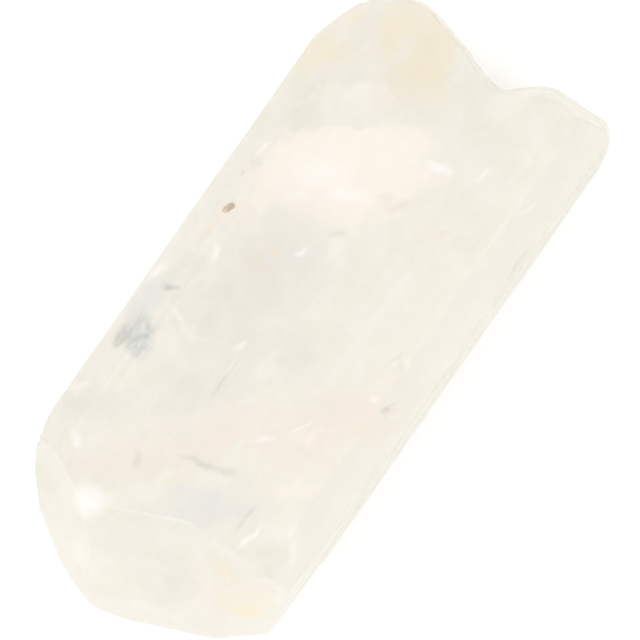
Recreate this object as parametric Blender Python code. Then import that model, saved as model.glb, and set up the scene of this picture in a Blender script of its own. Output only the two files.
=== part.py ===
"""A raw danburite crystal, lying on one of its flat prism faces.

The crystal is one natural piece: a prism of flat, lengthwise striated faces, closed at +X by a
wedge of glassy end faces, and broken off at -X where it came away from its rock. Every crystal
face is placed by its Miller indices and its distance from the crystal's centre, so the angles
between faces are danburite's own. Sizes and places below are millimetres, and angles degrees.
The model is in metres, +Z up, with X along the crystal's c axis and its resting face on Z = 0.
"""

import math

import bmesh
import bpy
from mathutils import Matrix, Vector, noise

MM = 0.001

# Driving dimensions
LENGTH = 38.6
THICKNESS = 12.0
CENTRE = Vector((0.0, 0.0, THICKNESS / 2))
BROKEN_X = -LENGTH / 2
WORN_EDGE = 0.16
WORN_EDGE_FROM_ANGLE = 12.0

# Where the middle of the finished outline falls in the places below. It becomes X = Y = 0.
MIDDLE_OF_OUTLINE = Vector((0.019, 0.119, 0.0))

# Danburite's unit cell, in angstroms
CELL_A, CELL_B, CELL_C = 8.038, 8.752, 7.730

# Distance of each face from the crystal's centre. The face (1 1 0) is on top.
PRISM_FACES = {
    (1, 1, 0): THICKNESS / 2,
    (-1, -1, 0): THICKNESS / 2,
    (1, 2, 0): 5.20,
    (0, 1, 0): 7.22,
    (-1, 1, 0): 8.36,
    (-1, 0, 0): 8.45,
    (1, 0, 0): 8.62,
    (1, -1, 0): 8.37,
    (0, -1, 0): 8.80,
    (-1, -2, 0): 7.00,
}
END_FACES = {
    (1, 1, 1): 12.00,
    (0, 1, 1): 14.60,
    (1, 0, 1): 14.60,
    (0, -1, 1): 15.97,
    (-1, 0, 1): 15.60,
    (0, 1, 2): 17.45,
    (-1, 0, 2): 18.00,
    (1, 0, 2): 16.75,
    (0, -1, 2): 18.35,
    (-1, 1, 1): 14.90,
    (-2, 2, 1): 12.25,
    (-1, -1, 1): 13.40,
    (2, -2, 3): 16.70,
}

# Low growth terraces, from the broken end: prism face, height, across the face from and to,
# where the step ends in X, and how far its pointed tip leans to one side
TERRACES = (
    ((1, 2, 0), 0.05, -4.9, -0.3, 7.4, 0.9),
    ((1, 1, 0), 0.05, 2.9, 5.3, -2.4, -1.1),
    ((1, -1, 0), 0.16, -1.6, 1.2, 6.0, 0.8),
    ((1, -1, 0), 0.10, 2.2, 3.7, 9.4, -0.7),
    ((-1, 1, 0), 0.12, -1.7, 0.4, 5.6, -0.9),
    ((-1, -2, 0), 0.12, -4.6, -3.1, 3.0, 0.8),
    ((-1, 0, 0), 0.12, 1.1, 2.3, 6.5, 1.0),
)
TERRACE_ROOT = 0.3
TERRACE_SIDE_TILT = 55.0
TERRACE_TIP_TILT = 66.0
TERRACE_TIP_POINT = 1.7

# Narrow growth furrows: prism face, place across the face, along X from and to, width, depth
FURROWS = (
    ((1, 2, 0), -0.12, 1.8, 6.3, 0.42, 0.30),
    ((1, 2, 0), -2.6, -1.0, 6.5, 0.30, 0.12),
    ((1, 2, 0), 0.75, -1.5, 4.0, 0.24, 0.10),
    ((1, 1, 0), 5.75, -13.5, -7.0, 0.34, 0.16),
    ((1, -1, 0), -2.4, -9.0, 7.0, 0.40, 0.24),
    ((1, -1, 0), 2.0, -13.0, 1.0, 0.30, 0.18),
    ((-1, 1, 0), 1.1, -8.0, 7.0, 0.38, 0.22),
    ((-1, 1, 0), -2.2, -6.0, 8.0, 0.26, 0.16),
    ((-1, -2, 0), -2.6, -12.0, 5.0, 0.34, 0.18),
)
FURROW_DEEPEST_AT = 0.42

# Chips struck out of edges: centre, half sizes along X, Y and Z, turn about Z
CHIPS = (
    ((-1.7, 5.9, 12.05), (0.75, 0.30, 0.26), 18),
    ((0.9, 6.75, 11.65), (0.52, 0.45, 0.40), -12),
    ((-3.3, -6.9, 9.45), (0.62, 0.40, 0.34), -28),
    ((-6.2, -7.2, 9.05), (0.80, 0.42, 0.50), 12),
    ((2.2, -7.5, 8.75), (0.62, 0.46, 0.42), 0),
    ((5.1, -7.75, 8.45), (1.40, 0.55, 0.75), 6),
    ((12.4, -8.55, 6.90), (1.30, 0.60, 0.85), 14),
    ((-9.6, 8.1, 10.2), (1.00, 0.42, 0.55), 0),
    ((7.5, 8.75, 2.4), (1.30, 0.50, 0.70), 8),
    ((-11.0, -8.2, 2.4), (1.60, 0.80, 0.70), 10),
    ((-12.0, 4.6, 0.05), (1.20, 0.90, 0.40), 30),
)
CHIP_UNEVENNESS = 0.75
CHIP_LUMPS = 1.5

# Shell-shaped scoops of the broken end: the middle of each mouth, the way it faces, radius, depth
SCOOPS = (
    ((-18.5, -1.4, 11.2), (-0.10, -0.32, 0.94), 11.5, 2.0),
    ((-15.0, -6.9, 9.1), (-0.25, -0.52, 0.82), 10.5, 1.35),
    ((-19.3, 4.2, 1.6), (-0.72, 0.10, -0.68), 9.5, 1.7),
)

# The broken end seen from above: place across, and how far short of the crystal's full length
BREAK_OUTLINE = (
    (-11.0, 14.0),
    (-9.2, 8.6),
    (-8.25, 4.5),
    (-7.3, 2.35),
    (-5.7, 1.05),
    (-4.2, 0.48),
    (-2.6, 0.92),
    (-1.3, 1.20),
    (1.6, 1.98),
    (3.1, 0.75),
    (4.1, 0.25),
    (6.2, 0.20),
    (7.4, 0.12),
    (7.8, 0.35),
    (8.4, 1.25),
    (8.9, 2.6),
    (11.0, 9.0),
)

# The fracture reaches furthest at this height, and draws back by these amounts at top and bottom
BREAK_FURTHEST_Z = 4.6
BREAK_BACK_AT_TOP = 1.0
BREAK_BACK_AT_BOTTOM = 1.5

# Shell ripples run around the point where the blow struck: height, spacing and reach
BREAK_STRUCK_AT = Vector((0.0, 9.5, 2.0))
RIPPLE_HEIGHT = 0.10
RIPPLE_SPACING = 2.0
RIPPLE_REACH = 9.0

# Uneven ground on the fracture: height, then how closely it repeats across and upwards
COARSE_GROUND = (0.22, 0.55, 0.75)
FINE_GROUND = (0.09, 1.0, 0.7)

# The fracture's cutter: spacing of its points, half its width, its lowest and highest Z, its depth
BREAK_STEP = 0.5
BREAK_HALF_WIDTH = 11.0
BREAK_FROM_Z = -2.2
BREAK_TO_Z = 14.3
BREAK_CUTTER_DEPTH = 8.0


def face_normal(indices):
    """The outward direction of a crystal face. X is the c axis, and (1 1 0) looks up."""
    h, k, l = indices
    turn = math.atan2(CELL_A, CELL_B)
    along_a = Vector((0.0, math.sin(turn), math.cos(turn)))
    along_b = Vector((0.0, -math.cos(turn), math.sin(turn)))
    along_c = Vector((1.0, 0.0, 0.0))
    return (h / CELL_A * along_a + k / CELL_B * along_b + l / CELL_C * along_c).normalized()


def new_object(name, mesh):
    """A named object from a mesh drawn in millimetres."""
    bmesh.ops.recalc_face_normals(mesh, faces=mesh.faces[:])
    bmesh.ops.translate(mesh, vec=-MIDDLE_OF_OUTLINE, verts=mesh.verts[:])
    bmesh.ops.scale(mesh, vec=(MM, MM, MM), verts=mesh.verts[:])
    data = bpy.data.meshes.new(name)
    mesh.to_mesh(data)
    mesh.free()
    made = bpy.data.objects.new(name, data)
    bpy.context.scene.collection.objects.link(made)
    return made


def trimmed_block(name, planes):
    """A closed convex solid: a large block trimmed by planes, each a point and an outward direction."""
    mesh = bmesh.new()
    bmesh.ops.create_cube(mesh, size=4 * LENGTH)
    for point, outward in planes:
        everything = mesh.verts[:] + mesh.edges[:] + mesh.faces[:]
        cut = bmesh.ops.bisect_plane(
            mesh, geom=everything, dist=1e-5, plane_co=point, plane_no=outward, clear_outer=True
        )
        rim = [part for part in cut["geom_cut"] if isinstance(part, bmesh.types.BMEdge)]
        if rim:
            bmesh.ops.edgeloop_fill(mesh, edges=rim)
    return new_object(name, mesh)


def crystal_body():
    """The crystal as it grew, longer than it is now, with its edges a little worn."""
    planes = []
    for indices, distance in {**PRISM_FACES, **END_FACES}.items():
        outward = face_normal(indices)
        planes.append((CENTRE + outward * distance, outward))
    planes.append((Vector((BROKEN_X - 2.0, 0, 0)), Vector((-1, 0, 0))))
    stone = trimmed_block("danburite_crystal", planes)
    worn = stone.modifiers.new("worn edges", "BEVEL")
    worn.width = WORN_EDGE * MM
    worn.segments = 2
    worn.limit_method = "ANGLE"
    worn.angle_limit = math.radians(WORN_EDGE_FROM_ANGLE)
    return stone


def face_frame(indices):
    """A point on a prism face, its outward direction, and the direction across it, +Y on the top faces."""
    outward = face_normal(indices)
    across = outward.cross(Vector((1, 0, 0)))
    return CENTRE + outward * PRISM_FACES[indices], outward, across


def terrace(number, indices, height, low, high, end, lean):
    """A low step of growth on a prism face: a flat top with sloping sides and a pointed, sloping tip."""
    origin, outward, across = face_frame(indices)
    along = Vector((1, 0, 0))

    def sloping(direction, tilt):
        tilt = math.radians(tilt)
        return direction.normalized() * math.cos(tilt) + outward * math.sin(tilt)

    tip_low = sloping(along - across * (TERRACE_TIP_POINT + lean), TERRACE_TIP_TILT)
    tip_high = sloping(along + across * (TERRACE_TIP_POINT - lean), TERRACE_TIP_TILT)
    planes = [
        (origin + outward * height, outward),
        (origin - outward * TERRACE_ROOT, -outward),
        (origin + across * low, sloping(-across, TERRACE_SIDE_TILT)),
        (origin + across * high, sloping(across, TERRACE_SIDE_TILT)),
        (Vector((BROKEN_X - 5.0, 0, 0)), -along),
        (origin + along * end + across * low, tip_low),
        (origin + along * end + across * high, tip_high),
    ]
    return trimmed_block(f"terrace {number}", planes)


def furrow(number, indices, place, start, end, width, depth):
    """A cutter for a growth furrow: a slender spindle with three sides, pointed at both ends."""
    origin, outward, across = face_frame(indices)
    line = origin + across * place
    deepest_x = start + FURROW_DEEPEST_AT * (end - start)
    mesh = bmesh.new()
    ring = []
    for sideways, upwards in ((-0.75, 0.5), (0.75, 0.5), (0.0, -1.0)):
        corner = across * (sideways * width) + outward * (upwards * depth)
        ring.append(mesh.verts.new(line + Vector((deepest_x, 0, 0)) + corner))
    for tip_x in (start, end):
        tip = mesh.verts.new(line + Vector((tip_x, 0, 0)) + outward * 0.02)
        for index, corner in enumerate(ring):
            mesh.faces.new((tip, corner, ring[(index + 1) % len(ring)]))
    return new_object(f"furrow {number}", mesh)


def ball(name, centre, half_sizes, turn, subdivisions, unevenness=0.0):
    """A round or oval cutter, its corners drawn in and out by up to this share of its size."""
    mesh = bmesh.new()
    bmesh.ops.create_icosphere(mesh, subdivisions=subdivisions, radius=1.0)
    for corner in mesh.verts:
        corner.co *= 1.0 + unevenness * noise.noise(corner.co * CHIP_LUMPS + Vector(centre))
    place = Matrix.Translation(centre) @ Matrix.Rotation(math.radians(turn), 4, "Z")
    bmesh.ops.transform(mesh, matrix=place @ Matrix.Diagonal((*half_sizes, 1.0)), verts=mesh.verts[:])
    return new_object(name, mesh)


def on_smooth_line(points, at):
    """The value at a place on a smooth line through points that are given from low to high."""
    last = len(points) - 1
    index = 0
    while index < last - 1 and points[index + 1][0] < at:
        index += 1
    before = points[max(index - 1, 0)]
    x0, y0 = points[index]
    x1, y1 = points[index + 1]
    after = points[min(index + 2, last)]
    span = x1 - x0
    rise0 = span * (y1 - before[1]) / (x1 - before[0])
    rise1 = span * (after[1] - y0) / (after[0] - x0)
    t = min(max((at - x0) / span, 0.0), 1.0)
    return (
        (2 * t**3 - 3 * t**2 + 1) * y0
        + (t**3 - 2 * t**2 + t) * rise0
        + (3 * t**2 - 2 * t**3) * y1
        + (t**3 - t**2) * rise1
    )


def uneven(kind, y, z):
    height, across, upwards = kind
    return height * noise.noise(Vector((y * across, z * upwards, 10 * height)))


def fracture_x(y, z):
    """The X of the fracture: its outline, drawn back at top and bottom, with ripples and uneven ground."""
    if z > BREAK_FURTHEST_Z:
        drawn_back = BREAK_BACK_AT_TOP * ((z - BREAK_FURTHEST_Z) / (THICKNESS - BREAK_FURTHEST_Z)) ** 2
    else:
        drawn_back = BREAK_BACK_AT_BOTTOM * ((BREAK_FURTHEST_Z - z) / BREAK_FURTHEST_Z) ** 2
    distance = (Vector((0.0, y, z)) - BREAK_STRUCK_AT).length
    wave = math.sin(distance * math.tau / RIPPLE_SPACING) * math.exp(-distance / RIPPLE_REACH)
    surface = RIPPLE_HEIGHT * wave + uneven(COARSE_GROUND, y, z) + uneven(FINE_GROUND, y, z)
    return BROKEN_X + on_smooth_line(BREAK_OUTLINE, y) + drawn_back + max(surface, -0.02)


def fracture_cutter():
    """A block faced with the fracture surface, to cut the crystal's root off."""
    mesh = bmesh.new()
    places_across = round(2 * BREAK_HALF_WIDTH / BREAK_STEP) + 1
    places_up = round((BREAK_TO_Z - BREAK_FROM_Z) / BREAK_STEP) + 1
    rows = []
    for j in range(places_up):
        z = BREAK_FROM_Z + j * BREAK_STEP
        ys = [i * BREAK_STEP - BREAK_HALF_WIDTH for i in range(places_across)]
        rows.append([mesh.verts.new((fracture_x(y, z), y, z)) for y in ys])
    for lower, upper in zip(rows, rows[1:]):
        for i in range(places_across - 1):
            mesh.faces.new((lower[i], lower[i + 1], upper[i + 1], upper[i]))
    drawn_out = bmesh.ops.extrude_face_region(mesh, geom=mesh.faces[:])
    for part in drawn_out["geom"]:
        if isinstance(part, bmesh.types.BMVert):
            part.co.x = BROKEN_X - BREAK_CUTTER_DEPTH
    return new_object("fracture", mesh)


def combine(stone, other, operation):
    other.hide_render = True
    other.display_type = "WIRE"
    step = stone.modifiers.new(other.name, "BOOLEAN")
    step.operation = operation
    step.solver = "EXACT"
    step.object = other


def danburite_material():
    material = bpy.data.materials.new("danburite")
    material.use_nodes = True
    shader = material.node_tree.nodes["Principled BSDF"]
    shader.inputs["Base Color"].default_value = (0.88, 0.84, 0.75, 1.0)
    shader.inputs["Roughness"].default_value = 0.18
    shader.inputs["Metallic"].default_value = 0.0
    shader.inputs["IOR"].default_value = 1.63
    shader.inputs["Transmission Weight"].default_value = 0.7
    return material


def main():
    for old in list(bpy.data.objects):
        bpy.data.objects.remove(old)
    stone = crystal_body()
    for number, values in enumerate(TERRACES, 1):
        combine(stone, terrace(number, *values), "UNION")
    for number, values in enumerate(FURROWS, 1):
        combine(stone, furrow(number, *values), "DIFFERENCE")
    for number, (centre, half_sizes, turn) in enumerate(CHIPS, 1):
        cutter = ball(f"chip {number}", centre, half_sizes, turn, 2, CHIP_UNEVENNESS)
        combine(stone, cutter, "DIFFERENCE")
    combine(stone, fracture_cutter(), "DIFFERENCE")
    for number, (mouth, facing, radius, depth) in enumerate(SCOOPS, 1):
        centre = Vector(mouth) + Vector(facing).normalized() * (radius - depth)
        combine(stone, ball(f"scoop {number}", centre, (radius,) * 3, 0, 5), "DIFFERENCE")
    stone.data.materials.append(danburite_material())


main()
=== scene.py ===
"""The looks of a raw danburite crystal: milky, pale cream, with healed cracks inside and rust at its root."""

import math

import bmesh
import bpy
from mathutils import Matrix, Vector, noise


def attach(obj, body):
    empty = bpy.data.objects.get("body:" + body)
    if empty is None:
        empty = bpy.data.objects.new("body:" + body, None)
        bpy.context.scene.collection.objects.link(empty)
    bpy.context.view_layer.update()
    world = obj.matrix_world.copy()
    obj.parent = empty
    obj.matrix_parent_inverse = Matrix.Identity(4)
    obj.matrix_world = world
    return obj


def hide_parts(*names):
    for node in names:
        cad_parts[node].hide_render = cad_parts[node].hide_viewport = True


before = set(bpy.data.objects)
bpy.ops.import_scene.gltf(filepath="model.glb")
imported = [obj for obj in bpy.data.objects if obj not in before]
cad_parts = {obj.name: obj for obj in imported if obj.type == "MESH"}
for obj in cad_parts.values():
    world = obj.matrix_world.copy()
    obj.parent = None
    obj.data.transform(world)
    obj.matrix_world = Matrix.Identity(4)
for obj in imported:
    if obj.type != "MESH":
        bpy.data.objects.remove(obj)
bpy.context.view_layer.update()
MM = 0.001


# The table, the light and the camera. The photo looks straight down with a long lens on a
# white table, in even, nearly shadowless light. The crystal's length runs 54.9 degrees off
# the picture's horizontal, with its wedge end at the lower left.
PHOTO_WIDTH = 35.4 * MM
PHOTO_MIDDLE = Vector((-1.05, 0.67, 0.0)) * MM
PHOTO_TURN = math.radians(234.9)
CRYSTAL_MIDDLE_Z = 6.0 * MM
LENS = 250.0
SENSOR = 36.0
ROOM_BRIGHTNESS = 1.415

picture_right = Vector((math.cos(PHOTO_TURN), -math.sin(PHOTO_TURN), 0.0))
picture_up = Vector((math.sin(PHOTO_TURN), math.cos(PHOTO_TURN), 0.0))
towards_lens = Vector((0.0, 0.0, 1.0))


def link(thing):
    bpy.context.scene.collection.objects.link(thing)
    return thing


lens = bpy.data.cameras.new("camera")
lens.lens = LENS
lens.sensor_width = SENSOR
lens.clip_start = 0.01
lens.clip_end = 5.0
camera = link(bpy.data.objects.new("camera", lens))
camera_spot = PHOTO_MIDDLE + towards_lens * (CRYSTAL_MIDDLE_Z + PHOTO_WIDTH * LENS / SENSOR)
upright = Matrix((picture_right, picture_up, towards_lens)).transposed()
camera.matrix_world = Matrix.Translation(camera_spot) @ upright.to_4x4()
bpy.context.scene.camera = camera

bpy.context.scene.view_settings.view_transform = "Standard"

room = bpy.data.worlds.new("white room")
room.use_nodes = True
room.node_tree.nodes["Background"].inputs["Color"].default_value = (1.0, 1.0, 1.0, 1.0)
room.node_tree.nodes["Background"].inputs["Strength"].default_value = ROOM_BRIGHTNESS
bpy.context.scene.world = room


def soft_lamp(name, direction, distance, size, power):
    """A round lamp that looks at the crystal from a direction in the crystal's own axes."""
    data = bpy.data.lights.new(name, "AREA")
    data.shape = "DISK"
    data.size = size
    data.energy = power
    outward = Vector(direction).normalized()
    spot = towards_lens * CRYSTAL_MIDDLE_Z + outward * distance
    turn = outward.to_track_quat("Z", "Y").to_matrix()
    lamp = link(bpy.data.objects.new(name, data))
    lamp.matrix_world = Matrix.Translation(spot) @ turn.to_4x4()


# This lamp's mirror image shows on the rounded ridge between the wedge and the long upper face
soft_lamp("lamp on the wedge", (0.61, -0.32, 0.73), 0.35, 0.05, 0.10)

TABLE_SIZE = 3.0
TABLE_GAP = 0.08 * MM
table_mesh = bmesh.new()
bmesh.ops.create_grid(table_mesh, x_segments=2, y_segments=2, size=TABLE_SIZE / 2)
bmesh.ops.translate(table_mesh, vec=(0, 0, -TABLE_GAP), verts=table_mesh.verts[:])
table_data = bpy.data.meshes.new("table")
table_mesh.to_mesh(table_data)
table_mesh.free()
table = link(bpy.data.objects.new("table", table_data))
table_paint = bpy.data.materials.new("white table")
table_paint.use_nodes = True
table_shader = table_paint.node_tree.nodes["Principled BSDF"]
table_shader.inputs["Base Color"].default_value = (0.93, 0.93, 0.93, 1.0)
table_shader.inputs["Roughness"].default_value = 0.9
table_data.materials.append(table_paint)


# The crystal itself: danburite, a glassy calcium borosilicate, grown as one prism with a
# wedge-shaped end and broken from its rock. The solid's surface is made fine here, so that
# growth lines, worn edges and the uneven break show in the shape.
GRAIN = 0.17 * MM
GROWTH_LINE_HEIGHT = 0.022 * MM
GROWTH_SWELL_HEIGHT = 0.050 * MM
FRACTURE_ROUGHNESS = 0.080 * MM
END_FACE_RIPPLE = 0.006 * MM
BREAK_STARTS_X = -13.0 * MM
BREAK_ROUGHENS_OVER = 3.0 * MM

# How closely the relief repeats per millimetre: along the crystal and across a face, or all ways
GROWTH_LINES = (0.05, 1.2)
FINE_GROWTH_LINES = (0.09, 2.4)
GROWTH_SWELLS = (0.09, 0.35)
COARSE_HACKLE = 1.1
FINE_HACKLE = 2.6
END_FACE_RIPPLES = 0.8


def fine_copy(node_name, name, grain):
    """A finely and evenly divided copy of a CAD node's surface, with its edges a little rounded."""
    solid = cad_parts[node_name]
    copy = link(bpy.data.objects.new(name, solid.data.copy()))
    remesh = copy.modifiers.new("grain", "REMESH")
    remesh.mode = "VOXEL"
    remesh.voxel_size = grain
    settle = copy.modifiers.new("settle on the faces", "SHRINKWRAP")
    settle.target = solid
    relax = copy.modifiers.new("relax", "SMOOTH")
    relax.factor = 0.5
    relax.iterations = 3
    bpy.context.view_layer.update()
    ready = copy.evaluated_get(bpy.context.evaluated_depsgraph_get())
    data = bpy.data.meshes.new_from_object(ready)
    copy.modifiers.clear()
    copy.data = data
    data.materials.clear()
    return copy


def growth_relief(place, normal):
    """How far the surface lies under the plain solid here, in metres, as a value below zero."""
    at = place / MM
    around = math.atan2(normal.z, normal.y) * 1.5
    across = at.y * normal.z - at.z * normal.y

    def stretched(repeats, shift):
        return noise.noise(Vector((at.x * repeats[0], across * repeats[1], around + shift)))

    lines = stretched(GROWTH_LINES, 0.0)
    fine_lines = stretched(FINE_GROWTH_LINES, 7.0)
    swell = stretched(GROWTH_SWELLS, 3.0)
    on_prism = max(0.0, 1.0 - abs(normal.x) / 0.25)
    near_break = max(0.0, min(1.0, (BREAK_STARTS_X - place.x) / BREAK_ROUGHENS_OVER))
    broken = near_break * min(1.0, abs(normal.x) * 2.5)
    hackle = noise.noise(at * COARSE_HACKLE) + 0.5 * noise.noise(at * FINE_HACKLE)
    relief = (
        GROWTH_LINE_HEIGHT * (lines + 0.45 * fine_lines - 0.6) * on_prism
        + GROWTH_SWELL_HEIGHT * (swell - 0.5) * on_prism
        + FRACTURE_ROUGHNESS * (hackle - 0.6) * broken
        + END_FACE_RIPPLE * (noise.noise(at * END_FACE_RIPPLES) - 0.6) * (1.0 - on_prism)
    )
    return min(relief, 0.0)


crystal = fine_copy("danburite_crystal", "crystal", GRAIN)
surface = bmesh.new()
surface.from_mesh(crystal.data)
surface.normal_update()
for point in surface.verts:
    point.co += point.normal * growth_relief(point.co, point.normal)
surface.to_mesh(crystal.data)
surface.free()
crystal.data.shade_smooth()
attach(crystal, "root")
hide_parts("danburite_crystal")


def surface_at(x, y):
    """The point of the crystal's upper surface at a place given in millimetres, in metres."""
    hit, point, _, _ = crystal.ray_cast(Vector((x * MM, y * MM, 0.03)), Vector((0.0, 0.0, -1.0)))
    return point


def plug(tree, value, socket):
    """Sets a socket to a plain value, or links it where the value is another node's output."""
    if isinstance(value, bpy.types.NodeSocket):
        tree.links.new(value, socket)
    elif value is not None:
        socket.default_value = value


def maths(tree, operation, *values):
    node = tree.nodes.new("ShaderNodeMath")
    node.operation = operation
    for value, socket in zip(values, node.inputs):
        plug(tree, value, socket)
    return node.outputs[0]


def vector_maths(tree, operation, *values):
    node = tree.nodes.new("ShaderNodeVectorMath")
    node.operation = operation
    for value, socket in zip(values, node.inputs):
        plug(tree, value, socket)
    return node


def in_millimetres(tree):
    """The place on or in the crystal, in its own axes."""
    where = tree.nodes.new("ShaderNodeTexCoord").outputs["Object"]
    at = vector_maths(tree, "SCALE", where)
    at.inputs["Scale"].default_value = 1.0 / MM
    return at.outputs[0]


def noise_of(tree, vector, scale, detail=3.0, roughness=0.55):
    node = tree.nodes.new("ShaderNodeTexNoise")
    node.inputs["Scale"].default_value = scale
    node.inputs["Detail"].default_value = detail
    node.inputs["Roughness"].default_value = roughness
    tree.links.new(vector, node.inputs["Vector"])
    return node.outputs[0]


def strays(tree, vector, scale, detail, roughness):
    """A noise that strays about 0."""
    return maths(tree, "SUBTRACT", noise_of(tree, vector, scale, detail, roughness), 0.5)


def pushes(tree, at, scale):
    """A noise that pushes places about, so that what is drawn around them gets an uneven outline."""
    push = tree.nodes.new("ShaderNodeTexNoise")
    push.inputs["Scale"].default_value = scale
    push.inputs["Detail"].default_value = 1.0
    tree.links.new(at, push.inputs["Vector"])
    return vector_maths(tree, "SUBTRACT", push.outputs["Color"], (0.5, 0.5, 0.5)).outputs[0]


def pushed(tree, at, push, reach):
    return vector_maths(tree, "MULTIPLY_ADD", push, (reach, reach, reach), at).outputs[0]


def between(tree, value, low, high, to_low=0.0, to_high=1.0):
    """A smooth step of a value from one level to another."""
    node = tree.nodes.new("ShaderNodeMapRange")
    node.interpolation_type = "SMOOTHSTEP"
    levels = {"Value": value, "From Min": low, "From Max": high, "To Min": to_low, "To Max": to_high}
    for name, level in levels.items():
        plug(tree, level, node.inputs[name])
    return node.outputs["Result"]


def turned(tree, at, directions):
    """The place, in axes turned around Z to each of some directions in degrees."""
    places = {}
    for direction in directions:
        node = tree.nodes.new("ShaderNodeVectorRotate")
        node.rotation_type = "Z_AXIS"
        node.inputs["Angle"].default_value = -math.radians(direction)
        tree.links.new(at, node.inputs["Vector"])
        places[direction] = node.outputs[0]
    return places


def zones(tree, places, cloud, ragged, core, rows):
    """One mask for a list of oval zones: 1 within a share of their size, 0 past their ragged edges."""
    nearest = None
    for spot, depth, half_size, direction in rows:
        middle = surface_at(*spot) / MM - Vector((0.0, 0.0, depth))
        middle.rotate(Matrix.Rotation(-math.radians(direction), 3, "Z"))
        stretch = [1.0 / size for size in half_size]
        shift = [-place / size for place, size in zip(middle, half_size)]
        away = vector_maths(tree, "MULTIPLY_ADD", places[direction], stretch, shift).outputs[0]
        distance = vector_maths(tree, "LENGTH", away).outputs["Value"]
        nearest = distance if nearest is None else maths(tree, "MINIMUM", nearest, distance)
    strayed = maths(tree, "MULTIPLY_ADD", cloud, ragged, nearest)
    return between(tree, strayed, 1.0, core)


def beyond(tree, at, spot, direction, softness):
    """1 on the side of a line that the direction points to, 0 on the other. The line is on the surface."""
    facing = Vector((math.cos(math.radians(direction)), math.sin(math.radians(direction)), 0.0))
    line = surface_at(*spot) / MM
    side = vector_maths(tree, "DOT_PRODUCT", at, facing).outputs["Value"]
    return between(tree, side, facing.dot(line) - softness, facing.dot(line) + softness)


def tint(tree, colour, over, mask):
    """Lays a colour over another where the mask is."""
    node = tree.nodes.new("ShaderNodeMix")
    node.data_type = "RGBA"
    tree.links.new(mask, node.inputs["Factor"])
    for socket, value in ((node.inputs["A"], over), (node.inputs["B"], colour)):
        plug(tree, value if isinstance(value, bpy.types.NodeSocket) else (*value, 1.0), socket)
    return node.outputs["Result"]


# Colours of the stone: clean, clouded by fluid-filled cracks, and stained by iron; white and pale cream also
# serve as painted highlights and glints, and pale cream and warm grey as painted light and shade on faces by
# their slope
CREAM = (0.865, 0.835, 0.750)
PALE_CREAM = (0.930, 0.905, 0.830)
COOL_GREY = (0.785, 0.765, 0.71)
WARM_GREY = (0.81, 0.78, 0.66)
BLUISH = (0.80, 0.79, 0.76)
PINK = (0.955, 0.890, 0.810)
WHITE = (1.00, 0.99, 0.96)
PEACH = (0.885, 0.80, 0.71)
ORANGE = (0.86, 0.76, 0.60)
OCHRE = (0.90, 0.81, 0.64)
DEEP_OCHRE = (0.95, 0.81, 0.50)
MOSS = (0.68, 0.69, 0.57)
SLATE = (0.66, 0.69, 0.68)
DARK_SLATE = (0.44, 0.47, 0.44)
RUSTY_PEACH = (0.91, 0.78, 0.65)
RUST = (0.55, 0.47, 0.37)
DARK_RUST = (0.38, 0.31, 0.24)

# Directions, in degrees from the crystal's length, that zones lie along
DIRECTIONS = (0, 30, 65, 110, 125, 150, 165)
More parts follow.
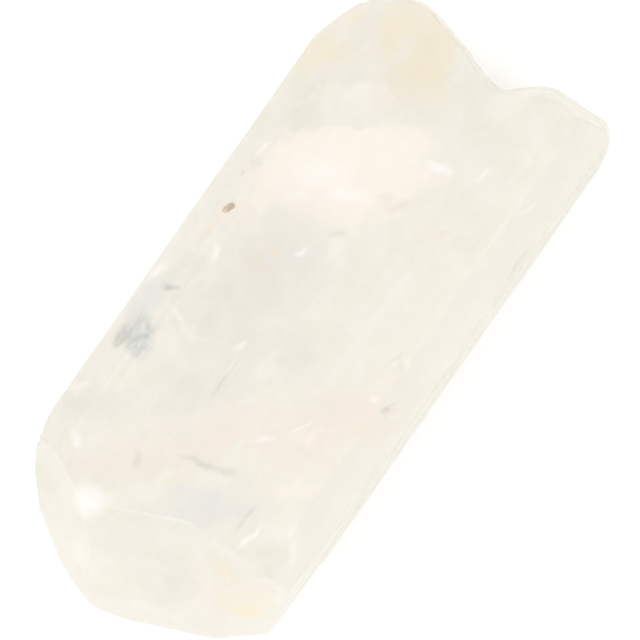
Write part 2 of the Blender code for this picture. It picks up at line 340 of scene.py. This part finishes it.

# The stone's cloudy zones and small marks, by colour, set against the photo. Each has the
# place it lies under, how deep its middle is, half sizes along, across and down, and its direction.
# Deeper ones look fainter.
ZONES = (
    (COOL_GREY, (
        ((0.1, -2.8), 1.6, (8.3, 5.1, 5.0), 0),
        ((-3.4, -1.5), 1.8, (2.8, 2.1, 3.0), 125),
        ((5.2, -1.9), 2.1, (5.5, 3.1, 4.0), 150),
        ((9.8, -6.7), 1.7, (3.0, 2.1, 3.0), 65),
        ((1.3, 0.7), 2.4, (3.3, 2.0, 4.0), 0),
        ((14.1, 1.9), 3.2, (3.6, 2.7, 4.0), 0),
    )),
    (WARM_GREY, (
        ((-10.3, -6.3), 1.3, (3.2, 2.0, 2.5), 150),
        ((-9.0, 0.9), 1.2, (2.5, 0.77, 2.0), 125),
        ((11.3, 5.6), 1.3, (1.9, 2.2, 2.0), 0),
        ((-8.8, 5.1), 2.0, (3.9, 2.5, 3.0), 0),
        ((14.7, -6.4), 2.0, (1.7, 2.8, 3.0), 0),
    )),
    (SLATE, (
        ((5.2, -6.8), 1.0, (1.8, 2.1, 2.4), 165),
        ((2.1, -7.3), 2.0, (1.9, 1.2, 2.4), 165),
    )),
    (BLUISH, (
        ((10.9, 1.3), 1.0, (4.7, 1.8, 3.0), 125),
        ((3.6, -7.4), 1.7, (3.4, 2.4, 3.0), 0),
        ((-4.0, -1.0), 1.7, (2.4, 1.9, 2.5), 150),
    )),
    (OCHRE, (
        ((-15.6, -3.2), 2.2, (4.4, 3.1, 3.5), 0),
        ((-14.4, -1.6), 1.4, (3.6, 2.6, 3.0), 30),
        ((-13.0, -7.1), 1.2, (2.6, 1.9, 2.5), 125),
        ((-15.4, -7.3), 1.3, (2.8, 1.0, 2.0), 150),
        ((13.0, 5.9), 1.6, (3.6, 2.8, 2.5), 0),
        ((12.9, 4.0), 1.3, (1.0, 2.8, 2.0), 0),
    )),
    (ORANGE, (
        ((-2.9, -3.5), 0.9, (1.2, 1.0, 1.5), 165),
        ((-8.1, 3.4), 1.1, (1.0, 0.77, 1.5), 125),
        ((8.8, -3.0), 1.0, (1.8, 0.89, 1.5), 110),
        ((2.9, 6.0), 1.5, (2.8, 1.3, 2.0), 150),
        ((10.2, 0.0), 1.6, (3.5, 0.77, 2.0), 125),
        ((-1.5, -3.5), 1.1, (1.0, 0.77, 1.5), 165),
        ((-16.4, -3.1), 1.1, (1.7, 1.2, 1.5), 150),
    )),
    (DEEP_OCHRE, (
        ((14.1, 6.4), 0.8, (1.1, 0.77, 1.6), 110),
    )),
    (PEACH, (
        ((10.6, -2.4), 1.6, (6.1, 2.4, 2.5), 125),
        ((3.5, 4.5), 0.9, (6.8, 2.5, 2.5), 150),
        ((6.4, 0.6), 0.7, (5.8, 2.1, 2.0), 150),
        ((17.9, 0.5), 1.6, (4.2, 1.3, 2.5), 110),
        ((1.6, 6.3), 1.2, (2.8, 2.2, 2.0), 0),
    )),
    (RUSTY_PEACH, (
        ((-3.3, -6.2), 0.7, (2.1, 1.1, 1.2), 110),
        ((-2.3, -6.5), 0.7, (1.3, 0.66, 1.0), 150),
    )),
    (PINK, (
        ((-4.1, -5.8), 1.5, (3.1, 1.9, 2.5), 165),
        ((-10.4, 1.3), 1.6, (2.5, 1.7, 2.5), 125),
        ((7.5, 4.4), 1.2, (2.4, 1.3, 2.0), 125),
        ((7.2, 2.8), 1.0, (3.3, 0.77, 1.5), 125),
        ((-12.4, 7.6), 1.4, (1.9, 1.0, 2.0), 0),
        ((9.2, -7.4), 0.9, (2.7, 0.55, 1.5), 110),
        ((4.4, 3.8), 0.8, (3.6, 0.55, 1.2), 150),
        ((-14.1, 0.4), 1.4, (1.9, 1.0, 2.0), 65),
    )),
    (PALE_CREAM, (
        ((-12.4, -4.5), 0.8, (0.89, 2.2, 1.5), 30),
        # painted highlight: the pale streak running down from the wedge ridge's highlight
        ((16.5, -2.2), 1.6, (1.6, 2.5, 3.0), 30),
        ((-12.3, 3.4), 1.9, (2.5, 1.9, 3.0), 0),
        ((12.9, -2.2), 1.2, (1.7, 1.0, 2.0), 125),
        ((3.8, -1.7), 0.5, (2.0, 0.17, 0.8), 0),
        ((3.5, -4.8), 0.9, (0.44, 2.7, 1.5), 0),
        ((-4.3, 3.4), 3.1, (4.4, 3.3, 4.0), 0),
        ((11.9, 7.8), 1.4, (1.3, 1.8, 2.0), 0),
    )),
    (WHITE, (
        ((-5.9, -4.1), 1.2, (1.3, 0.66, 2.0), 125),
        ((-7.7, -3.5), 1.5, (2.8, 1.5, 3.0), 125),
        ((-7.6, -1.7), 0.9, (2.1, 0.77, 2.0), 110),
        ((-11.5, 1.3), 0.4, (1.1, 0.44, 1.5), 110),
        ((-12.4, 3.3), 0.7, (0.89, 0.33, 1.5), 0),
        # painted highlight on the rounded ridge of the wedge
        ((14.2, -3.9), 0.5, (1.4, 1.6, 2.4), 30),
        # the next two are painted glints on edges
        ((9.7, 6.5), 0.4, (1.9, 0.55, 1.6), 30),
        ((11.9, -6.5), 0.2, (0.83, 0.28, 0.8), 65),
        ((-0.8, -6.1), 0.3, (0.89, 0.33, 0.9), 30),
        ((-3.7, -2.2), 0.4, (0.77, 0.28, 0.8), 150),
        ((10.7, 4.3), 0.2, (1.3, 0.22, 0.8), 165),
        ((6.0, 1.8), 0.4, (1.1, 0.28, 0.8), 125),
        ((4.2, 3.3), 0.3, (1.4, 0.17, 0.7), 150),
        ((0.7, 5.5), 0.3, (0.44, 0.33, 0.8), 125),
        # the next two are painted glints on the left and right edges
        ((1.8, -8.2), 0.2, (1.1, 0.39, 0.9), 165),
        ((-12.2, 6.3), 0.4, (1.3, 0.17, 0.8), 165),
        ((2.6, -2.0), 0.3, (0.83, 0.33, 0.8), 165),
        ((-7.0, -7.2), 0.3, (0.89, 0.28, 0.8), 165),
    )),
    (MOSS, (
        ((8.8, 0.4), 0.4, (2.5, 0.30, 1.0), 110),
        ((8.6, 1.3), 0.5, (1.1, 0.39, 1.0), 110),
        ((10.9, -3.0), 0.5, (0.94, 0.39, 1.0), 30),
        ((10.0, 3.5), 0.5, (2.0, 0.22, 1.0), 0),
        ((5.1, -1.7), 0.4, (1.3, 0.17, 0.8), 0),
        ((-5.2, -7.4), 0.4, (0.55, 0.33, 0.8), 0),
        ((-1.6, 5.2), 0.5, (0.89, 0.22, 0.8), 165),
        ((1.0, 6.2), 0.4, (0.44, 0.28, 0.7), 125),
        ((-5.5, -1.1), 0.6, (1.1, 0.50, 1.0), 125),
    )),
    (DARK_SLATE, (
        ((2.1, -6.8), 0.5, (0.72, 0.30, 0.9), 125),
    )),
)
SHARP_COLOURS = (WHITE, MOSS, DARK_SLATE)
SOFT_RAGGED = 0.75
SOFT_CORE = 0.15
SHARP_RAGGED = 0.8
SHARP_CORE = 0.1

# The healed crack under the upper face, the iron-stained scoop of the broken end, the dark spot
UPPER_VEIL = (((-8.8, -2.6), 0.5, (7.0, 4.6, 3.5), 125),)
STAIN = (((-15.6, -3.2), 2.0, (4.4, 4.2, 3.0), 30),)
SPECKLED = (((5.3, -7.0), 0.2, (1.6, 1.5, 2.2), 165),)


# The veil's straight rims and the scoop's ridge: a place on each, and the direction it faces
VEIL_RIMS = (((-11.8, -2.3), 35), ((-7.8, -6.7), 64))
SCOOP_RIDGE = ((-14.0, -4.1), 125)

MILKINESS = 0.58
REFRACTION = 1.63
SMOOTHEST = 0.28
ROUGHEST = 0.36
DEPTH_COLOUR = (0.89, 0.86, 0.80)
DEPTH_DENSITY = 12.0


def danburite_finish():
    material = bpy.data.materials.new("milky danburite")
    material.use_nodes = True
    tree = material.node_tree
    shader = tree.nodes["Principled BSDF"]
    shader.inputs["Transmission Weight"].default_value = 1.0 - MILKINESS
    shader.inputs["IOR"].default_value = REFRACTION
    at = in_millimetres(tree)
    along_growth = vector_maths(tree, "MULTIPLY", at, (0.08, 1.0, 1.0)).outputs[0]

    broad = strays(tree, at, 0.45, detail=3.0, roughness=0.65)
    fine = strays(tree, at, 1.7, detail=2.0, roughness=0.65)
    streaks = strays(tree, along_growth, 1.5, detail=2.0, roughness=0.6)
    push = pushes(tree, at, 0.8)
    soft_places = turned(tree, pushed(tree, at, push, 2.0), DIRECTIONS)
    sharp_places = turned(tree, pushed(tree, at, push, 0.7), DIRECTIONS)
    upright = sharp_places[0]
    mottled = maths(tree, "MULTIPLY_ADD", fine, 1.0, 0.95)

    colour = tint(tree, PALE_CREAM, CREAM, between(tree, broad, -0.05, 0.20, 0.0, 0.4))
    colour = tint(tree, WARM_GREY, colour, between(tree, broad, 0.02, -0.22, 0.0, 0.35))
    colour = tint(tree, PINK, colour, between(tree, fine, 0.03, 0.22, 0.0, 0.30))
    colour = tint(tree, COOL_GREY, colour, between(tree, fine, -0.03, -0.22, 0.0, 0.16))
    colour = tint(tree, PALE_CREAM, colour, between(tree, streaks, -0.02, -0.25, 0.0, 0.35))

    # The upper veil has a sharp rim in two straight runs
    veil = zones(tree, sharp_places, broad, 1.1, 0.45, UPPER_VEIL)
    for spot, direction in VEIL_RIMS:
        veil = maths(tree, "MULTIPLY", veil, beyond(tree, upright, spot, direction, 0.12))
    colour = tint(tree, PINK, colour, maths(tree, "MULTIPLY", veil, mottled))

    # The stain ends at the scoop's ridge
    stain = zones(tree, sharp_places, broad, 1.0, 0.45, STAIN)
    stain = maths(tree, "MULTIPLY", stain, beyond(tree, upright, *SCOOP_RIDGE, 0.20))
    colour = tint(tree, OCHRE, colour, stain)

    for tone, rows in ZONES:
        if tone in SHARP_COLOURS:
            mask = zones(tree, sharp_places, fine, SHARP_RAGGED, SHARP_CORE, rows)
        else:
            mask = zones(tree, soft_places, broad, SOFT_RAGGED, SOFT_CORE, rows)
        colour = tint(tree, tone, colour, maths(tree, "MULTIPLY", mask, mottled))

    # Dark mineral specks crowd in one spot of the left side
    specks = strays(tree, at, 2.4, detail=2.0, roughness=0.6)
    spot = zones(tree, sharp_places, fine, 0.8, 0.3, SPECKLED)
    crowd = maths(tree, "MULTIPLY", spot, between(tree, specks, -0.12, 0.16))
    colour = tint(tree, DARK_SLATE, colour, maths(tree, "MULTIPLY", crowd, 0.55))

    # Painted light and shade by the way each face slopes: the sloping face of the right side is painted paler
    # than the top, the steep faces under it painted darker and greyer
    facing = tree.nodes.new("ShaderNodeSeparateXYZ")
    tree.links.new(tree.nodes.new("ShaderNodeNewGeometry").outputs["Normal"], facing.inputs[0])
    colour = tint(tree, PALE_CREAM, colour, between(tree, facing.outputs["Y"], 0.0, 0.8, 0.0, 0.40))
    upward = maths(tree, "ABSOLUTE", facing.outputs["Z"])
    colour = tint(tree, WARM_GREY, colour, between(tree, upward, 0.60, 0.10, 0.0, 0.55))
    tree.links.new(colour, shader.inputs["Base Color"])

    tree.links.new(between(tree, streaks, -0.2, 0.25, SMOOTHEST, ROUGHEST), shader.inputs["Roughness"])

    lines = tree.nodes.new("ShaderNodeBump")
    lines.inputs["Strength"].default_value = 0.25
    lines.inputs["Distance"].default_value = 0.02 * MM
    tree.links.new(streaks, lines.inputs["Height"])
    tree.links.new(lines.outputs["Normal"], shader.inputs["Normal"])

    depth = tree.nodes.new("ShaderNodeVolumeAbsorption")
    depth.inputs["Color"].default_value = (*DEPTH_COLOUR, 1.0)
    depth.inputs["Density"].default_value = DEPTH_DENSITY
    tree.links.new(depth.outputs[0], tree.nodes["Material Output"].inputs["Volume"])
    return material


crystal.data.materials.append(danburite_finish())


def smooth_line(points, share):
    """A place on a smooth line through a list of points, by its share of the way from first to last."""
    along = share * (len(points) - 1)
    index = min(int(along), len(points) - 2)
    t = along - index
    before, start, end, after = (
        Vector(points[max(0, min(len(points) - 1, index + step))]) for step in (-1, 0, 1, 2)
    )
    return 0.5 * (
        2 * start + (end - before) * t + (2 * before - 5 * start + 4 * end - after) * t**2
        + (3 * start - before - 3 * end + after) * t**3
    )


def add_piece(name, mesh, material):
    """Makes a piece inside or on the crystal from a mesh in metres."""
    bmesh.ops.recalc_face_normals(mesh, faces=mesh.faces[:])
    data = bpy.data.meshes.new(name)
    mesh.to_mesh(data)
    mesh.free()
    data.shade_smooth()
    data.materials.append(material)
    piece = link(bpy.data.objects.new(name, data))
    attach(piece, "root")


# The healed cracks: two wavy sheets of tiny fluid-filled hollows, left where the crystal cracked
# and grew together again. Each starts just under the upper surface at its rim and dips from there.
CRACK_COLUMNS = 60
CRACK_ROWS = 24
CRACK_WAVES = 0.16

# Places along each sheet's rim and foot: X, Y and how deep under the surface
UPPER_RIM = ((-5.9, -6.9, 0.4), (-7.7, -6.3, 0.3), (-8.9, -5.5, 0.3), (-10.5, -4.0, 0.3), (-11.5, -2.6, 0.3),
             (-12.8, -0.7, 0.35), (-12.9, 0.6, 0.4), (-12.0, 1.7, 0.5))
UPPER_FOOT = ((-2.7, -6.6, 1.0), (-3.1, -5.4, 1.6), (-4.3, -3.0, 2.2), (-5.7, -1.3, 2.5), (-7.6, 0.1, 2.5),
              (-9.1, 0.9, 2.3), (-10.2, 2.2, 1.9), (-10.8, 2.4, 1.5))
LOWER_RIM = ((11.6, -5.9, 0.5), (8.7, -3.6, 0.35), (6.9, -0.4, 0.3), (3.9, 1.9, 0.3), (1.7, 4.2, 0.35),
             (-0.3, 6.2, 0.5))
LOWER_FOOT = ((13.0, -3.9, 1.0), (11.1, -0.9, 1.7), (8.7, 1.8, 2.2), (6.5, 3.8, 2.2), (4.3, 6.0, 1.6),
              (3.4, 6.8, 0.9))


def healed_crack(name, rim, foot, material):
    mesh = bmesh.new()
    picture = mesh.loops.layers.uv.new("along and down")
    grid = []
    for j in range(CRACK_ROWS + 1):
        down = j / CRACK_ROWS
        row = []
        for i in range(CRACK_COLUMNS + 1):
            along = i / CRACK_COLUMNS
            place = smooth_line(rim, along).lerp(smooth_line(foot, along), down)
            wave = CRACK_WAVES * noise.noise(Vector((place.x * 0.7, place.y * 0.7, down)))
            top = surface_at(place.x, place.y)
            row.append(mesh.verts.new((top.x, top.y, top.z - (place.z + wave) * MM)))
        grid.append(row)
    for j, (upper, lower) in enumerate(zip(grid, grid[1:])):
        for i in range(CRACK_COLUMNS):
            face = mesh.faces.new((upper[i], upper[i + 1], lower[i + 1], lower[i]))
            corners = ((i, j), (i + 1, j), (i + 1, j + 1), (i, j + 1))
            for loop, (u, v) in zip(face.loops, corners):
                loop[picture].uv = (u / CRACK_COLUMNS, v / CRACK_ROWS)
    add_piece(name, mesh, material)


def new_group(name, inputs, outputs):
    """An empty shader node group with named sockets, and its two ends."""
    group = bpy.data.node_groups.new(name, "ShaderNodeTree")
    for way, sockets in (("INPUT", inputs), ("OUTPUT", outputs)):
        for socket_name, kind in sockets:
            group.interface.new_socket(socket_name, in_out=way, socket_type=f"NodeSocket{kind}")
    return group, group.nodes.new("NodeGroupInput").outputs, group.nodes.new("NodeGroupOutput").inputs


def finish_from(group, name, values):
    """A material whose shader takes everything that the group puts out, made with its own values."""
    material = bpy.data.materials.new(name)
    material.use_nodes = True
    tree = material.node_tree
    effect = tree.nodes.new("ShaderNodeGroup")
    effect.node_tree = group
    for socket, value in values.items():
        effect.inputs[socket].default_value = value
    for socket in effect.outputs:
        tree.links.new(socket, tree.nodes["Principled BSDF"].inputs[socket.name])
    return material


def healed_crack_lace():
    """A lacy veil: dense at the rim, thinning towards the foot and the two ends."""
    group, given, made = new_group(
        "healed crack lace",
        (("Colour", "Color"), ("Second Colour", "Color"), ("Thickness", "Float")),
        (("Base Color", "Color"), ("Roughness", "Float"), ("Alpha", "Float")),
    )
    at = in_millimetres(group)
    broad = strays(group, at, 0.7, detail=3.0, roughness=0.6)
    lace = strays(group, at, 3.0, detail=3.0, roughness=0.6)
    colour = tint(group, given["Second Colour"], given["Colour"], between(group, broad, -0.1, 0.15))
    spread = group.nodes.new("ShaderNodeSeparateXYZ")
    group.links.new(group.nodes.new("ShaderNodeTexCoord").outputs["UV"], spread.inputs[0])
    thinning = between(group, spread.outputs["Y"], 0.25, 1.0, given["Thickness"], 0.0)
    left_end = between(group, spread.outputs["X"], 0.0, 0.12)
    right_end = between(group, spread.outputs["X"], 1.0, 0.88)
    ends = maths(group, "MULTIPLY", left_end, right_end)
    holes = between(group, maths(group, "ADD", broad, lace), -0.12, 0.16, 0.15, 1.0)
    group.links.new(colour, made["Base Color"])
    group.links.new(between(group, lace, -0.2, 0.2, 0.35, 0.55), made["Roughness"])
    group.links.new(maths(group, "MULTIPLY", maths(group, "MULTIPLY", thinning, ends), holes), made["Alpha"])
    return group


LACE = healed_crack_lace()
WHITE_LACE = {"Colour": (*WHITE, 1.0), "Second Colour": (*PINK, 1.0), "Thickness": 1.0}
PEACH_LACE = {"Colour": (*PINK, 1.0), "Second Colour": (*PEACH, 1.0), "Thickness": 0.90}
healed_crack("upper_healed_crack", UPPER_RIM, UPPER_FOOT, finish_from(LACE, "white healed crack", WHITE_LACE))
healed_crack("lower_healed_crack", LOWER_RIM, LOWER_FOOT, finish_from(LACE, "peach healed crack", PEACH_LACE))


# The mineral grains: a rust grain in a pit of the upper left edge, a cluster of dark grains on
# the slate-coloured spot below it, and the dark fillings of a few open cracks. They grew in or
# on the crystal.
def mixed_grain():
    """Two colours of one mineral that stray into each other."""
    group, given, made = new_group(
        "mixed grain",
        (("Colour", "Color"), ("Second Colour", "Color")),
        (("Base Color", "Color"), ("Roughness", "Float")),
    )
    mixed = strays(group, in_millimetres(group), 4.0, detail=3.0, roughness=0.6)
    colour = tint(group, given["Second Colour"], given["Colour"], between(group, mixed, -0.1, 0.12))
    group.links.new(colour, made["Base Color"])
    group.links.new(between(group, mixed, -0.2, 0.2, 0.45, 0.75), made["Roughness"])
    return group


def lump(mesh, spot, half_size, direction, depth, seed):
    """Adds an uneven grain that follows the upper surface near a place, its middle this deep under it."""
    made = bmesh.ops.create_icosphere(mesh, subdivisions=3, radius=1.0)["verts"]
    turn = Matrix.Rotation(math.radians(direction), 3, "Z")
    for point in made:
        uneven = 1.0 + 0.45 * noise.noise(point.co * 1.3 + Vector((seed, 0.0, 0.0)))
        offset = turn @ Vector([uneven * part * size for part, size in zip(point.co, half_size)])
        above = surface_at(spot[0] + offset.x, spot[1] + offset.y)
        point.co = above + Vector((0.0, 0.0, (offset.z - depth) * MM))


# Place, half sizes along, across and down, direction along, depth of the middle
RUST_GRAINS = (
    ((-3.25, -6.9), (0.40, 0.17, 0.12), 153, 0.01),
    ((-2.85, -6.65), (0.22, 0.07, 0.07), 170, 0.09),
    ((-3.75, -7.1), (0.16, 0.07, 0.07), 120, 0.09),
    ((-2.3, -6.2), (0.20, 0.04, 0.05), 140, 0.07),
)
DARK_GRAINS = (
    ((6.05, -7.1), (0.40, 0.10, 0.10), 128, 0.13),
    ((5.6, -6.75), (0.26, 0.07, 0.08), 100, 0.12),
    ((5.1, -6.65), (0.30, 0.08, 0.09), 148, 0.12),
    ((5.25, -7.4), (0.20, 0.13, 0.10), 20, 0.14),
    ((4.6, -6.9), (0.20, 0.10, 0.09), 60, 0.13),
    ((4.3, -7.25), (0.22, 0.08, 0.08), 35, 0.12),
    ((5.7, -7.6), (0.16, 0.10, 0.08), 80, 0.13),
    ((2.15, -6.8), (0.30, 0.08, 0.08), 125, 0.11),
    ((3.6, 3.9), (0.12, 0.05, 0.05), 110, 0.07),
)
CRACK_FILLINGS = (
    ((8.9, -0.1), (1.6, 0.10, 0.12), 106, 0.35),
    ((8.55, 1.3), (0.60, 0.14, 0.12), 117, 0.35),
    ((10.9, -3.0), (0.55, 0.12, 0.10), 35, 0.35),
    ((4.9, -1.7), (1.0, 0.06, 0.10), 4, 0.25),
    ((10.0, 3.5), (1.2, 0.07, 0.10), 173, 0.30),
)


MIXED_GRAIN = mixed_grain()
DARK_MINERAL = (0.24, 0.26, 0.24)
GREENISH = (0.42, 0.45, 0.34)


def grains(name, rows, finish_name, colour, second_colour):
    mesh = bmesh.new()
    for seed, (spot, half_size, direction, depth) in enumerate(rows):
        lump(mesh, spot, half_size, direction, depth, seed)
    values = {"Colour": (*colour, 1.0), "Second Colour": (*second_colour, 1.0)}
    add_piece(name, mesh, finish_from(MIXED_GRAIN, finish_name, values))


grains("rust_grain", RUST_GRAINS, "iron rust", DARK_RUST, RUST)
grains("dark_grains", DARK_GRAINS, "dark mineral", DARK_MINERAL, DARK_SLATE)
grains("crack_fillings", CRACK_FILLINGS, "greenish filling", GREENISH, MOSS)
